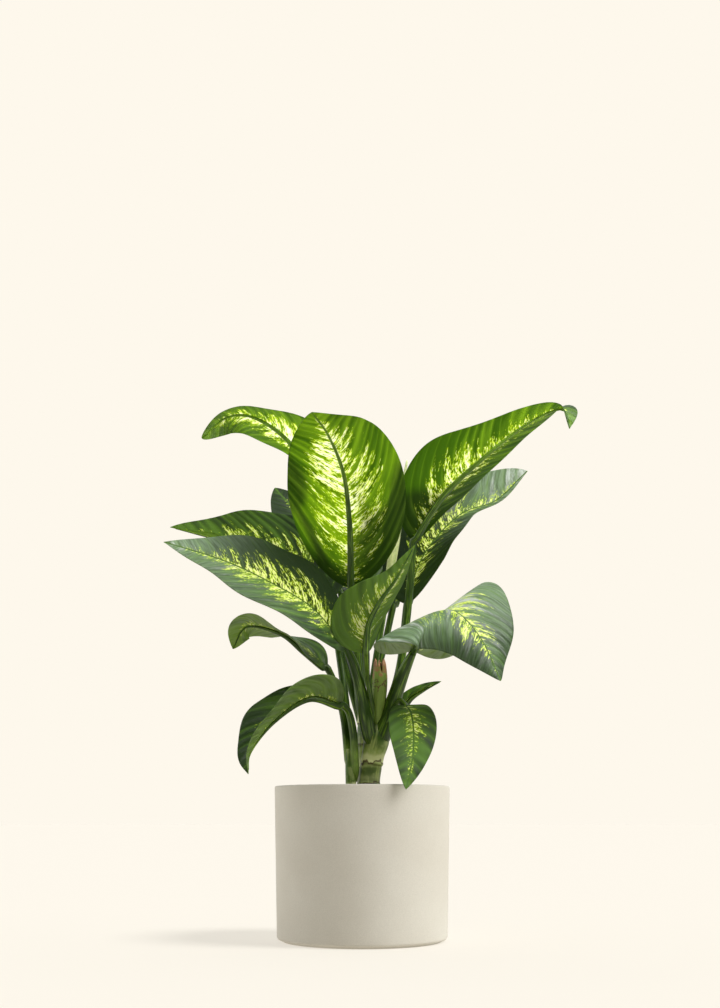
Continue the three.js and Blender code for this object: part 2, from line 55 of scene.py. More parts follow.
# Leaves, in millimetres and degrees, with the same values as the solids: the stalk's points and
# radii, the midrib's points, the way the upper face looks at the base, middle and tip, the widest
# half, how blunt the base and how tapered the tip, and how far each half folds and curls.
# lobe is how far the base of a half reaches back past the stalk. pale is how much of the cream
# pattern the leaf carries, tone how much darker its green is: partly its own darker green and
# partly painted shade where other leaves shadow it, and below 0 partly painted light. The painted
# sheen value is how much grey sheen is painted over the green, whiter above 1, and shine how
# glossy. A list runs from the base to the tip.
LEAVES = {
    "leaf_front": dict(
        stalk=[(2, 26, 258), (-4, 8, 310), (-10, -10, 362)], thick=[5, 4.5, 4],
        rib=[(-13, -22, 400), (-14, -50, 463), (-20, -93, 511), (-35, -143, 538), (-51, -198, 545)],
        face=[(0, 1, 0.1), (0, 1, 0.5), (0.1, 0.9, 1)],
        half=66, blunt=0.68, taper=0.9, fold=12, curl=-10, wave=2, pale=0.55, tone=[0.5, 0, 0, -0.1]),
    "leaf_upper_right": dict(
        stalk=[(12, 30, 236), (28, 16, 262), (42, 6, 300), (53, -4, 380)], thick=[6, 5.5, 5, 4.5],
        rib=[(59, -15, 457), (89, -35, 502), (133, -52, 541), (184, -66, 578), (222, -78, 591),
             (229, -86, 566)],
        face=[(-0.4, 0.8, 0.4), (-0.4, 0.8, 0.4), (-0.3, 0.8, 0.5), (-0.2, 0.7, 0.6), (0.5, -0.8, 0.2)],
        half=dict(left=[54, 46, 38, 58], right=[56, 54, 28, 28]), blunt=0.6, taper=0.9,
        fold=dict(left=42, right=22), curl=-5, wave=2, pale=0.36, tone=[0.7, 0.5, 0.1, 0],
        painted_sheen=[0, 0, 0, 0.3]),
    "leaf_right": dict(
        stalk=[(14, 34, 240), (32, 27, 270), (45, 24, 316)], thick=[6, 6, 5],
        rib=[(53, 25, 390), (68, 42, 440), (90, 55, 477), (124, 65, 511), (166, 74, 529),
             (206, 80, 568)],
        face=[(-0.5, -0.8, 0.2), (-0.5, -0.8, 0.3), (-0.2, -0.7, 0.6)],
        half=dict(left=[54, 54, 82], right=[56, 54, 34, 14, 14]), taper=0.7, fold=25, curl=-5, wave=2,
        pale=[0.18, 0.28, 0.4, 0.4], tone=[1, 1, 0.5, 0], painted_sheen=[0, 0, 0.5, 1.3],
        shine=[0.1, 0.1, 0.7, 1]),
    "leaf_right_drooping": dict(
        stalk=[(21, -13, 230), (33, -16, 263), (46, -21, 300)], thick=[11.5, 8.8, 7.2],
        rib=[(58, -30, 326), (72, -54, 355), (98, -80, 364), (126, -98, 332), (147, -108, 283)],
        face=[(0.2, 0, 1), (0.3, -0.3, 0.9), (0.6, -0.5, 0.4)],
        half=dict(left=[62, 72, 48], right=[70, 70, 46]), blunt=0.38, taper=0.75,
        fold=dict(left=[5, 40, 10], right=[0, -12, -10]),
        curl=dict(left=[-30, -10, -10], right=[-30, -75, -45]), lobe=dict(left=10, right=26), wave=2,
        pale=dict(left=[0.55, 0.45, 0.3, 0.3], right=0.37),
        tone=dict(left=[0.1, 0.1, 0.4], right=[0.1, 0.4, 0.7]),
        painted_sheen=dict(left=[1.35, 1.35, 0.5, 0.3], right=[1.35, 1.15, 0.4, 0.3])),
    "leaf_front_small": dict(
        stalk=[(9, -18, 236), (11, -26, 262), (6, -42, 292)], thick=[3.5, 3.2, 3],
        rib=[(4, -67, 318), (7, -80, 347), (19, -91, 371), (38, -95, 398), (57, -95, 433)],
        face=[(0.1, 1, 0.2), (0.1, 1, 0.3), (0.1, 0.9, 0.4)],
        half=dict(left=[30, 34, 40], right=[46, 42, 22, 18]), blunt=0.5, taper=0.95,
        fold=dict(left=70, right=[-12, 4, 12]), curl=0, wave=1, pale=0.46, tone=-0.5, painted_sheen=0.1),
    "leaf_left_low": dict(
        stalk=[(8, -19, 230), (4, -25, 250), (-2, -32, 282), (-10, -43, 310)], thick=[8, 8, 6.5, 5.5],
        rib=[(-18, -53, 327), (-54, -85, 365), (-98, -100, 390), (-148, -105, 413), (-214, -105, 434)],
        face=[(0.2, -0.7, 0.6), (0.2, -0.7, 0.6), (0, -0.8, 0.5)],
        half=dict(left=[42, 48, 50, 36], right=[57, 57, 62, 50]), taper=1, fold=13, curl=-10, wave=2,
        pale=0.44, tone=dict(left=[0.3, 0.1, 0], right=[1.2, 1.2, 0.9, 0]),
        painted_sheen=dict(left=[0.1, 0.3, 0.6, 0.9], right=[0, 0, 0.2, 1.3]),
        shine=dict(left=1, right=[0.1, 0.2, 0.6, 1])),
    "leaf_left_back": dict(
        stalk=[(-14, -6, 212), (-19, 2, 270), (-28, 10, 336)], thick=[4.5, 4.5, 4],
        rib=[(-38, 15, 393), (-74, 30, 437), (-120, 40, 461), (-178, 45, 475), (-232, 45, 488)],
        face=[(0.2, -0.5, 0.8), (0.1, -0.6, 0.8), (0.1, -0.5, 0.8)],
        half=62, taper=0.95, fold=30, curl=0, wave=2, pale=[0.2, 0.35, 0.42, 0.3],
        tone=[0.6, 0.2, -0.3, -0.3], shine=0.25),
    "leaf_top_left": dict(
        stalk=[(0, 32, 280), (-5, 24, 340), (-12, 15, 420)], thick=[4.5, 4.5, 4],
        rib=[(-38, 10, 512), (-82, 4, 578), (-124, -4, 607), (-158, -10, 606), (-187, -14, 579)],
        face=[(-0.2, 0.3, 0.9), (0.1, 0.35, 0.9), (0.3, 0.4, 0.8)],
        half=dict(left=[80, 56, 18, 12], right=[4, 19, 38, 18]), blunt=0.6, taper=0.5,
        fold=10, curl=-20, wave=1, pale=0.66, tone=0.1, painted_sheen=[0, 0.1, 0.4, 0.5]),
    "leaf_rear_small": dict(
        stalk=[(-4, 44, 270), (-10, 47, 330), (-24, 53, 400)], thick=[4, 4, 3.5],
        rib=[(-39, 60, 451), (-65, 85, 495), (-85, 105, 525), (-101, 120, 546), (-112, 130, 561)],
        face=[(0.3, -0.9, 0.3), (0.3, -0.9, 0.3), (0.3, -0.9, 0.3)],
        half=40, fold=10, curl=-10, wave=1, pale=0, tone=0.6, painted_sheen=0.05, shine=0.3),
    "leaf_left_twisted": dict(
        stalk=[(-16, -12, 204), (-21, -12, 250), (-31, -14, 290)], thick=[4.5, 4, 3.5],
        rib=[(-40, -20, 309), (-64, -38, 326), (-90, -50, 344), (-128, -58, 350), (-143, -62, 324)],
        face=[(0.3, -0.7, 0.6), (0, -0.1, 1), (-0.3, 0.8, 0.4)],
        half=dict(left=[30, 28, 38], right=[56, 40, 26]), taper=0.8, fold=[12, -2, 10], curl=-5, wave=1,
        pale=[0.2, 0.25, 0.35, 0.4], tone=[0.3, 0, -0.8], painted_sheen=[0, 0.5, 0.9, 0.7]),
    "leaf_left_arching": dict(
        stalk=[(-8, -16, 192), (-10, -21, 232), (-15, -30, 256)], thick=[4.5, 4.5, 4],
        rib=[(-23, -40, 265), (-59, -60, 271), (-96, -75, 244), (-121, -80, 209), (-123, -80, 185)],
        face=[(0.1, 0.1, 1), (-0.2, -0.2, 0.9), (-0.6, -0.3, 0.5)],
        half=dict(left=[50, 37, 22, 20], right=[16, 26, 38, 32]), blunt=0.65, fold=42, curl=0, wave=1,
        pale=0.12, tone=dict(left=-0.1, right=0.4), painted_sheen=dict(left=0.5, right=0.1)),
    "leaf_right_low": dict(
        stalk=[(18, -16, 224), (30, -22, 252), (41, -24, 270)], thick=[3.5, 3.5, 3],
        rib=[(48, -26, 265), (54, -50, 254), (56, -72, 228), (53, -92, 198), (46, -106, 168)],
        face=[(0.1, -0.6, 0.8), (0, -1, 0.1), (0, -1, 0)],
        half=dict(left=[28, 25, 21], right=27), blunt=0.5, fold=10, curl=-10, wave=1, pale=0.27,
        tone=-0.3, painted_sheen=0.05, shine=0.5),
    "leaf_right_tiny": dict(
        stalk=[(15, 2, 218), (28, 8, 240)], thick=[3.5, 3],
        rib=[(43, 10, 262), (55, 18, 278), (73, 22, 289), (93, 25, 298)],
        face=[(-0.5, -0.3, 0.8), (-0.5, -0.3, 0.8), (-0.3, -0.3, 0.8)],
        half=12, fold=30, curl=0, pale=0.3),
    "leaf_rear_upright": dict(
        stalk=[(2, 48, 268), (-2, 50, 320), (-6, 56, 370)], thick=[4.5, 4.5, 4],
        rib=[(-10, 66, 410), (-16, 96, 470), (-22, 132, 515), (-26, 172, 540), (-28, 214, 536)],
        face=[(0, -1, 0.3), (0, -0.7, 0.7), (0, 0, 1)],
        half=52, fold=14, curl=-10, wave=2, pale=0.5),
    "leaf_rear_right": dict(
        stalk=[(10, 46, 262), (18, 52, 310), (28, 58, 350)], thick=[4.5, 4.5, 4],
        rib=[(38, 66, 396), (56, 92, 450), (76, 124, 490), (94, 160, 512), (106, 198, 508)],
        face=[(-0.5, -0.6, 0.5), (-0.4, -0.4, 0.8), (0, 0, 1)],
        half=46, fold=14, curl=-10, wave=2, pale=0.5),
    "leaf_rear_left": dict(
        stalk=[(-2, 46, 252), (-16, 52, 304), (-28, 58, 346)], thick=[4.5, 4.5, 4],
        rib=[(-42, 66, 384), (-70, 90, 424), (-104, 120, 450), (-140, 148, 458), (-172, 172, 446)],
        face=[(0.5, -0.5, 0.5), (0.2, -0.3, 0.9), (-0.2, 0.1, 0.9)],
        half=44, fold=14, curl=-10, wave=2, pale=0.45),
}

# The colours of a young cane from the last ring up, at heights in millimetres, palest just over
# the ring: partly its young skin and partly a painted highlight on the bulge there
CANE_TOP = [(203, "#b2c070"), (210, "#8fa64c"), (226, "#3c5c12")]

# Canes: points, radii, the heights of the node rings that old leaves left, and the colours of the
# skin at heights, all in millimetres
CANES = {
    "main_cane": dict(
        path=[(7, -8, 146), (8, -8, 180), (12, -9, 207), (17, -11, 228), (19, -12, 244)],
        radius=[12, 12.2, 12.8, 14.2, 9], rings=[177, 201], zones=[(194, "#54692a"), *CANE_TOP]),
    "side_shoot": dict(
        path=[(-12, -14, 146), (-13, -14, 185), (-14, -13, 216)], radius=[6, 6, 5.5], rings=[168],
        zones=[(190, "#4c6c1e"), (214, "#35560f")]),
    "back_cane": dict(
        path=[(4, 34, 146), (4, 36, 215), (4, 40, 282)], radius=[10, 10, 9],
        rings=[176, 198, 224, 250], zones=[(194, "#6a7042"), *CANE_TOP]),
}
ROLLED_LEAF = dict(
    path=[(8, 37, 274), (25, 29, 380), (38, 27, 460), (47, 28, 516), (54, 30, 566)],
    radius=[4, 4, 5.5, 4.5, 1])
CUT_SHEATH = dict(
    path=[(18, -13, 236), (18, -16, 262), (20, -18, 294), (20, -19, 322)], radius=[5, 8, 8.5, 6.5])

# What each blade's points carry for its material, and the value where a leaf names none
LEAF_VALUES = {"pale": 0, "tone": 0, "painted_sheen": 0, "shine": 1}

# The columns of faces in half a blade, the least half-width in millimetres, at its tip, and the
# share of the half-width over which it folds away from the midrib
HALF_COLUMNS = 22
LEAST_HALF = 0.4
FOLD_START = 0.04

# The midrib's radius where the stalk passes into it
RIB_RADIUS = 4.2

# The colours of the stalks and of the rolled leaf at heights in millimetres. The stalks are
# darkest at mid height, partly their own deep green and partly painted shade among the leaves.
# The rolled leaf is dark low down, partly painted shade, and pale above, its young colour made
# paler still as painted light where it lies in shade.
STALK_ZONES = [(212, "#6f8a36"), (228, "#284108"), (490, "#2f4c0c"), (560, "#6d9626")]
ROLLED_ZONES = [(380, "#34520f"), (440, "#dfe6a2"), (480, "#e4eab0")]

# Side veins: how far apart, how high the tissue stands between them, how far their spacing
# drifts and over what length, in millimetres. Then how much they slant forward at the base,
# how much more at the tip, and how much more with each millimetre from the midrib.
VEIN_PITCH = 14
VEIN_HEIGHT = 0.06
VEIN_DRIFT = 3
VEIN_DRIFT_LENGTH = 19
VEIN_SLANT = 0.2
VEIN_TURN = 0.6
VEIN_BEND = 0.013

# The studio: the paper's own light and the share of the rest that it gives back, and how bright
# the room is in front of the plant and behind and above it
PAPER_GLOW = 0.645
PAPER_SHARE = 0.3
ROOM_FRONT = 0.05
ROOM_BACK = 0.9

# The camera that the photograph was taken with, worked out from the pot and the horizon: its
# place in metres, its pitch up in degrees, its lens in millimetres and its shift
CAMERA_PLACE = (-0.0025, -1.35, 0.137)
CAMERA_PITCH = 5.5
CAMERA_LENS = 42
CAMERA_SHIFT = 0.2

# The pot's and the soil's sizes in millimetres, as in the solids. The soil's radius is at its top,
# and its crown rises over SOIL_RISE from the wall.
POT_HEIGHT = 174
RIM_RADIUS = 100
BASE_RADIUS = 96.5
WALL = 6
FLOOR_HEIGHT = 8
SOIL_TOP = 163
SOIL_CROWN = 3
SOIL_RISE = 50
SOIL_RADIUS = BASE_RADIUS - WALL + 3.2

# A Map Range with soft ends, and a Mix of colours, whose sockets are 0 for the share of the
# second, 6 for the first colour and 7 for the second
SMOOTH = {"interpolation_type": "SMOOTHSTEP"}
COLOUR = {"out": 2, "data_type": "RGBA"}


def linear(hex_colour):
    """An sRGB hex colour as the linear values that Blender's sockets hold."""
    parts = [int(hex_colour[i:i + 2], 16) / 255 for i in (1, 3, 5)]
    return tuple(c / 12.92 if c <= 0.04045 else ((c + 0.055) / 1.055) ** 2.4 for c in parts)


def rgba(hex_colour):
    return (*linear(hex_colour), 1)


def spline(values, t):
    """A smooth run through a list, at t from 0 to 1. Values are numbers or points."""
    points = [Vector(v) if isinstance(v, (tuple, Vector)) else v for v in values]
    if len(points) == 1:
        return points[0]
    place = min(max(t, 0), 1) * (len(points) - 1)
    i = min(int(place), len(points) - 2)
    w = place - i
    start = 2 * points[0] - points[1]
    end = 2 * points[-1] - points[-2]
    a, b, c, d = ([start] + points + [end])[i:i + 4]
    return b + 0.5 * w * (c - a + w * (2 * a - 5 * b + 4 * c - d + w * (3 * (b - c) + d - a)))


def along(values, steps):
    """The smooth run through a list, in even steps from its start to its end."""
    return [spline(values, i / steps) for i in range(steps + 1)]


class Route:
    """A smooth line through points, measured by its own length."""
    STEPS = 240

    def __init__(self, points):
        self.points = points
        fine = along(points, self.STEPS)
        self.reach = [0.0]
        for a, b in zip(fine, fine[1:]):
            self.reach.append(self.reach[-1] + (b - a).length)
        self.length = self.reach[-1]

    def at(self, u):
        want = min(max(u, 0), 1) * self.length
        i = next((k for k in range(self.STEPS) if self.reach[k + 1] >= want), self.STEPS - 1)
        span = self.reach[i + 1] - self.reach[i]
        return spline(self.points, (i + (want - self.reach[i]) / span) / self.STEPS)

    def tangent(self, u):
        return (self.at(u + 0.004) - self.at(u - 0.004)).normalized()


def squared(way, tangent):
    """A direction turned until it stands square to the tangent."""
    return (way - tangent * way.dot(tangent)).normalized()


def bell(distance, width):
    """A bump of height 1 at distance 0 that dies away over the width."""
    return math.exp(-(distance / width) ** 2)


def put(tree, kind, sockets=(), out=0, **settings):
    """Adds a node with its settings and links, and returns one of its outputs. Each socket, in
    order or by its name or number, gets a number, a colour or a link from another's output."""
    node = tree.nodes.new("ShaderNode" + kind)
    for name, value in settings.items():
        setattr(node, name, value)
    if not isinstance(sockets, dict):
        sockets = dict(enumerate(sockets))
    for name, value in sockets.items():
        if isinstance(value, bpy.types.NodeSocket):
            tree.links.new(value, node.inputs[name])
        else:
            node.inputs[name].default_value = value
    return node.outputs[out] if node.outputs else None


def fresh_material(name):
    """An empty material and what adds a node to it, or the finished one and None if it is there."""
    old = bpy.data.materials.get(name)
    if old:
        return old, None
    material = bpy.data.materials.new(name)
    material.use_nodes = True
    material.node_tree.nodes.clear()
    return material, functools.partial(put, material.node_tree)


def leaf_pattern(add):
    """The cream streaks of a leaf, which run from the midrib out along the side veins, with the
    green's darkness, partly painted shade, and a grey sheen painted over the green.
    The leaf_mm attribute holds the distance from the midrib, the distance along it and a number
    of the leaf's own; the UV map holds the same two as shares of the leaf. The point attributes
    named leaf_ and each key of LEAF_VALUES hold the leaf's values of those names."""
    u, v, _ = add("SeparateXYZ", [add("UVMap", uv_map="UVMap")]).node.outputs
    place = add("Attribute", (), "Vector", attribute_name="leaf_mm")
    across_rib, along_rib, number = add("SeparateXYZ", [place]).node.outputs
    pale_share, tone, painted_sheen_share, shine = [
        add("Attribute", (), "Fac", attribute_name="leaf_" + key) for key in LEAF_VALUES]
    signed = add("Math", (u, 2.0, -1.0), operation="MULTIPLY_ADD")
    side = add("Math", [signed], operation="ABSOLUTE")
    out = add("Math", [across_rib], operation="ABSOLUTE")

    # A side vein leaves the midrib at about 60 degrees and bends on towards the tip
    slant = add("Math", (v, VEIN_TURN, VEIN_SLANT), operation="MULTIPLY_ADD")
    bend = add("Math", (out, VEIN_BEND, slant), operation="MULTIPLY_ADD")
    rise = add("Math", (out, bend), operation="MULTIPLY")
    vein = add("Math", (along_rib, rise), operation="SUBTRACT")
    half = add("Math", [signed], operation="SIGN")
    layer = add("Math", (half, 2.7, number), operation="MULTIPLY_ADD")

    # Streaks: long along the veins and narrow across them, sizes in millimetres
    def streaks(across, lengthwise, detail):
        where = add("CombineXYZ", (
            add("Math", (vein, 1 / across), operation="MULTIPLY"),
            add("Math", (out, 1 / lengthwise), operation="MULTIPLY"),
            add("Math", (layer, 7.31, detail), operation="MULTIPLY_ADD")))
        return add("TexNoise", {"Vector": where, "Scale": 1.0, "Detail": detail, "Roughness": 0.55})

    fingers = streaks(6.2, 34.0, 0.0)
    dashes = streaks(2.5, 10.0, 1.0)
    flecks = streaks(1.2, 3.0, 1.0)
    nicks = streaks(1.8, 6.0, 2.0)
    cloud = streaks(16.0, 40.0, 1.0)

    # How far out the cream reaches, as a share of the half, from the base to the tip
    reach = add("FloatCurve", {"Value": v})
    curve = reach.node.mapping.curves[0]
    for x, y in ((0.1, 0.5), (0.35, 0.72), (0.62, 0.6), (0.8, 0.34)):
        curve.points.new(x, y)
    curve.points[0].location = (0, 0.2)
    curve.points[-1].location = (1, 0.02)
    reach.node.mapping.update()
    generous = add("Math", (pale_share, 1.2, 0.35), operation="MULTIPLY_ADD")
    limit = add("Math", (reach, generous), operation="MULTIPLY")
    far = add("Math", (side, limit), operation="DIVIDE")
    start = add("Math", (pale_share, 1.0, -0.1), operation="MULTIPLY_ADD")
    total = add("Math", (far, -0.85, start), operation="MULTIPLY_ADD")
    for source, weight in ((fingers, 2.0), (dashes, 2.4), (flecks, 2.8), (cloud, 1.2)):
        above = add("Math", (source, 0.5), operation="SUBTRACT")
        total = add("Math", (above, weight, total), operation="MULTIPLY_ADD")
    # Nothing pale reaches the margin
    rim = add("MapRange", (side, 0.55, 0.9, 0.0, 1.4), **SMOOTH)
    total = add("Math", (total, rim), operation="SUBTRACT")
    pale = add("MapRange", (total, 0.0, 0.1), **SMOOTH)
    # Short green nicks are left all through it
    whole = add("MapRange", (nicks, 0.37, 0.43), **SMOOTH)
    pale = add("Math", (pale, whole), operation="MULTIPLY")
    cream = add("MapRange", (total, 0.1, 0.7), **SMOOTH)

    # The side veins stand VEIN_PITCH apart, some closer and some wider
    uneven = add("Math", (vein, 1 / VEIN_DRIFT_LENGTH), operation="MULTIPLY")
    uneven = add("Math", [uneven], operation="SINE")
    drifted = add("Math", (uneven, VEIN_DRIFT, vein), operation="MULTIPLY_ADD")
    ridge = add("Math", (drifted, FULL_TURN / VEIN_PITCH), operation="MULTIPLY")
    ridge = add("Math", [ridge], operation="SINE")
    # The midrib is about 1 mm wide each way
    rib = add("MapRange", (out, 0.5, 1.6, 1.0, 0.0), **SMOOTH)

    # Green is lighter and darker in clouds and from the midrib to the margin, its own colour. The
    # lighter and darker bands along the veins are painted light and shade of the tissue's rise between
    # them. The leaf's tone adds its own darker green with painted shade where other leaves shadow it,
    # and below 0 it adds painted light.
    green_depth_and_shade = add("Math", (cloud, 0.5), operation="SUBTRACT")
    green_depth_and_shade = add("Math", (green_depth_and_shade, 2.2, 0.32), operation="MULTIPLY_ADD")
    green_depth_and_shade = add("Math", (ridge, 0.16, green_depth_and_shade), operation="MULTIPLY_ADD")
    green_depth_and_shade = add("Math", (side, 0.4, green_depth_and_shade), operation="MULTIPLY_ADD")
    vein_line = add("MapRange", (ridge, -1.0, -0.8, 0.3, 0.0))
    green_depth_and_shade = add("Math", (green_depth_and_shade, vein_line), operation="SUBTRACT")
    green_depth_and_shade = add("Math", (green_depth_and_shade, tone), operation="ADD", use_clamp=True)

    # Painted sheen: a grey sheen painted in patches, whiter near the midrib and along some side
    # veins, and whiter still where the leaf's value is above 1
    sheen_patches = add("MapRange", (dashes, 0.3, 0.7, 0.4, 1.15))
    painted_sheen = add("Math", (painted_sheen_share, sheen_patches), operation="MULTIPLY", use_clamp=True)
    sheen_pattern = add("Math", (ridge, 0.12), operation="MULTIPLY")
    sheen_pattern = add("Math", (cloud, 1.6, sheen_pattern), operation="MULTIPLY_ADD")
    sheen_pattern = add("Math", (flecks, 0.6, sheen_pattern), operation="MULTIPLY_ADD")
    inner = add("Math", (0.35, side), operation="SUBTRACT")
    sheen_pattern = add("Math", (inner, 0.5, sheen_pattern), operation="MULTIPLY_ADD")
    sheen_above_one = add("Math", (painted_sheen_share, 1.0), operation="SUBTRACT")
    sheen_above_one = add("Math", (sheen_above_one, 0.0), operation="MAXIMUM")
    sheen_pattern = add("Math", (sheen_above_one, sheen_pattern), operation="ADD")
    sheen_whiteness = add("MapRange", (sheen_pattern, 1.05, 1.6), **SMOOTH)
    return {"pale": pale, "cream": cream, "ridge": ridge, "rib": rib, "dashes": dashes,
            "green_depth_and_shade": green_depth_and_shade, "painted_sheen": painted_sheen, "sheen_whiteness": sheen_whiteness, "shine": shine}


def leaf_material(name, greens, pales, sheen_colours, rib_colour, through_greens, through_pales, gloss, sheen,
                  relief, thinness):
    """Living leaf: a skin over tissue that lets light through. Greens go from light to dark areas,
    where the dark is partly painted shade, and pales from the ends of the streaks to the core, for
    light that comes back and for light that comes through. The sheen colours are the grey sheen
    painted over the green, from faint to white. gloss is the roughness where the leaf shines most,
    and thinness the share of the light that comes through."""
    material, add = fresh_material(name)
    if add is None:
        return material
    pattern = leaf_pattern(add)

    def coloured(light, dark, end, core, with_painted_sheen):
        green = add("Mix", {0: pattern["green_depth_and_shade"], 6: rgba(light), 7: rgba(dark)}, **COLOUR)
        # The grey sheen painted over the green, on the light that comes back only
        if with_painted_sheen:
            painted_sheen_colour = add("Mix", {0: pattern["sheen_whiteness"], 6: rgba(sheen_colours[0]), 7: rgba(sheen_colours[1])}, **COLOUR)
            green = add("Mix", {0: pattern["painted_sheen"], 6: green, 7: painted_sheen_colour}, **COLOUR)
        pale = add("Mix", {0: pattern["cream"], 6: rgba(end), 7: rgba(core)}, **COLOUR)
        streaked = add("Mix", {0: pattern["pale"], 6: green, 7: pale}, **COLOUR)
        return add("Mix", {0: pattern["rib"], 6: streaked, 7: rgba(rib_colour)}, **COLOUR)

    height = add("Math", (pattern["dashes"], 0.5, pattern["ridge"]), operation="MULTIPLY_ADD")
    bump = add("Bump", {"Strength": relief, "Distance": 0.8 * MM, "Height": height})
    # Where the leaf shines less its skin is rougher
    rough = add("MapRange", {"Value": pattern["shine"], "To Min": 0.9, "To Max": gloss})
    surface = add("BsdfPrincipled", {
        "Base Color": coloured(*greens, *pales, True), "Roughness": rough, "IOR": 1.45,
        "Specular IOR Level": sheen, "Normal": bump})
    through = add("BsdfTranslucent", {
        "Color": coloured(*through_greens, *through_pales, False), "Normal": bump})
    add("OutputMaterial", {"Surface": add("MixShader", (thinness, surface, through))})
    return material


def upper_leaf():
    # Cuticle side: smooth wax over dark tissue with a real gloss, and a grey-green sheen painted
    # over the colour
    return leaf_material(
        "Leaf cuticle, upper face", ("#46681f", "#0c1a05"), ("#b0d018", "#e6ee88"),
        ("#829a78", "#dce4da"), "#4f7020", ("#acc60a", "#7d9e04"), ("#e0ec48", "#fefef2"),
        gloss=0.36, sheen=0.3, relief=0.3, thinness=0.35)


def lower_leaf():
    # Underside: the same tissue without the wax, paler and duller, with raised side veins, and a
    # paler grey-green sheen painted over it in places
    return leaf_material(
        "Leaf underside", ("#668a30", "#2b460a"), ("#b8d02e", "#eef0b4"),
        ("#b2c294", "#c6d2b0"), "#7da030", ("#acc60a", "#7d9e04"), ("#e0ec48", "#fefef2"),
        gloss=0.5, sheen=0.25, relief=0.3, thinness=0.6)


def stem_fibres(add, around, lengthwise):
    """Fine fibres along a stem, drawn on a round section so that no seam shows. around is that
    section's radius, with about six fibres to each unit, and lengthwise is how many there are
    to a metre."""
    turn, length, _ = add("SeparateXYZ", [add("UVMap", uv_map="UVMap")]).node.outputs
    angle = add("Math", (turn, FULL_TURN), operation="MULTIPLY")
    x = add("Math", [angle], operation="COSINE")
    y = add("Math", [angle], operation="SINE")
    sizes = ((x, around), (y, around), (length, lengthwise))
    where = add("CombineXYZ", [add("Math", pair, operation="MULTIPLY") for pair in sizes])
    return add("TexNoise", {"Vector": where, "Scale": 1.0, "Detail": 3.0})


def stem_material(name, zones, streak, scar_heights, gloss):
    """Fleshy green stem: smooth skin with fine lengthwise fibres, whose pale lines are partly
    painted highlight streaks. Each zone is a height and the colour there, and brown scars lie at
    the scar heights, in millimetres, each with a pale band over it that is partly a painted highlight."""
    material, add = fresh_material(name)
    if add is None:
        return material
    place = add("TexCoord", (), "Object")
    height = add("SeparateXYZ", [place], "Z")
    # Fibres: about 24 round the stem, each some 30 mm long
    fibre = stem_fibres(add, 4.0, 33.0)
    # Blotches of about 9 mm
    blotch = add("TexNoise", {"Vector": place, "Scale": 110.0, "Detail": 3.0})
    colour = rgba(zones[0][1])
    for (low, _), (high, shade) in zip(zones, zones[1:]):
        rise = add("MapRange", (height, low * MM, high * MM))
        colour = add("Mix", {0: rise, 6: colour, 7: rgba(shade)}, **COLOUR)
    # Pale fibre lines: partly the fibres' own colour and partly painted highlight streaks
    lines = add("MapRange", (fibre, 0.5, 0.7, 0.0, 0.75))
    colour = add("Mix", {0: lines, 6: colour, 7: rgba(streak)}, **COLOUR)
    spots = add("MapRange", (blotch, 0.35, 0.65, 0.62, 1.1))
    colour = add("Mix", {0: 0.7, 6: colour, 7: spots}, **COLOUR, blend_type="MULTIPLY")
    if scar_heights:
        # Old cane skin is mottled
        patch = add("MapRange", (blotch, 0.5, 0.66, 0.0, 0.45), **SMOOTH)
        colour = add("Mix", {0: patch, 6: colour, 7: rgba("#a3aa6e")}, **COLOUR)
    # The scars wander up and down a little on their way round
    wander = 14 * MM
    wandering = add("Math", (blotch, wander, height), operation="MULTIPLY_ADD")
    for scar in scar_heights:
        above = add("Math", (wandering, scar * MM + wander / 2), operation="SUBTRACT")
        # A pale band lies over each scar, clearest over the highest: partly the young skin's paler
        # colour and partly a painted highlight on the bulge above the scar
        over = add("Math", (above, 4.5 * MM), operation="SUBTRACT")
        over = add("Math", [over], operation="ABSOLUTE")
        young_skin_and_highlight = 0.75 if scar == scar_heights[-1] else 0.2
        pale_band = add("MapRange", (over, 2 * MM, 7 * MM, young_skin_and_highlight, 0.0), **SMOOTH)
        colour = add("Mix", {0: pale_band, 6: colour, 7: rgba("#cdd294")}, **COLOUR)
        off = add("Math", [above], operation="ABSOLUTE")
        dark_line = add("MapRange", (off, 0.4 * MM, 1.6 * MM, 0.9, 0.0), **SMOOTH)
        colour = add("Mix", {0: dark_line, 6: colour, 7: rgba("#3f2a16")}, **COLOUR)
    bump = add("Bump", {"Strength": 0.35, "Distance": 0.4 * MM, "Height": fibre})
    surface = add("BsdfPrincipled", {
        "Base Color": colour, "Roughness": gloss, "IOR": 1.45, "Specular IOR Level": 0.4,
        "Normal": bump})
    # The flesh is juicy, so light from behind glows through it a little
    through = add("BsdfTranslucent", {"Color": rgba(streak), "Normal": bump})
    add("OutputMaterial", {"Surface": add("MixShader", (0.12, surface, through))})
    return material


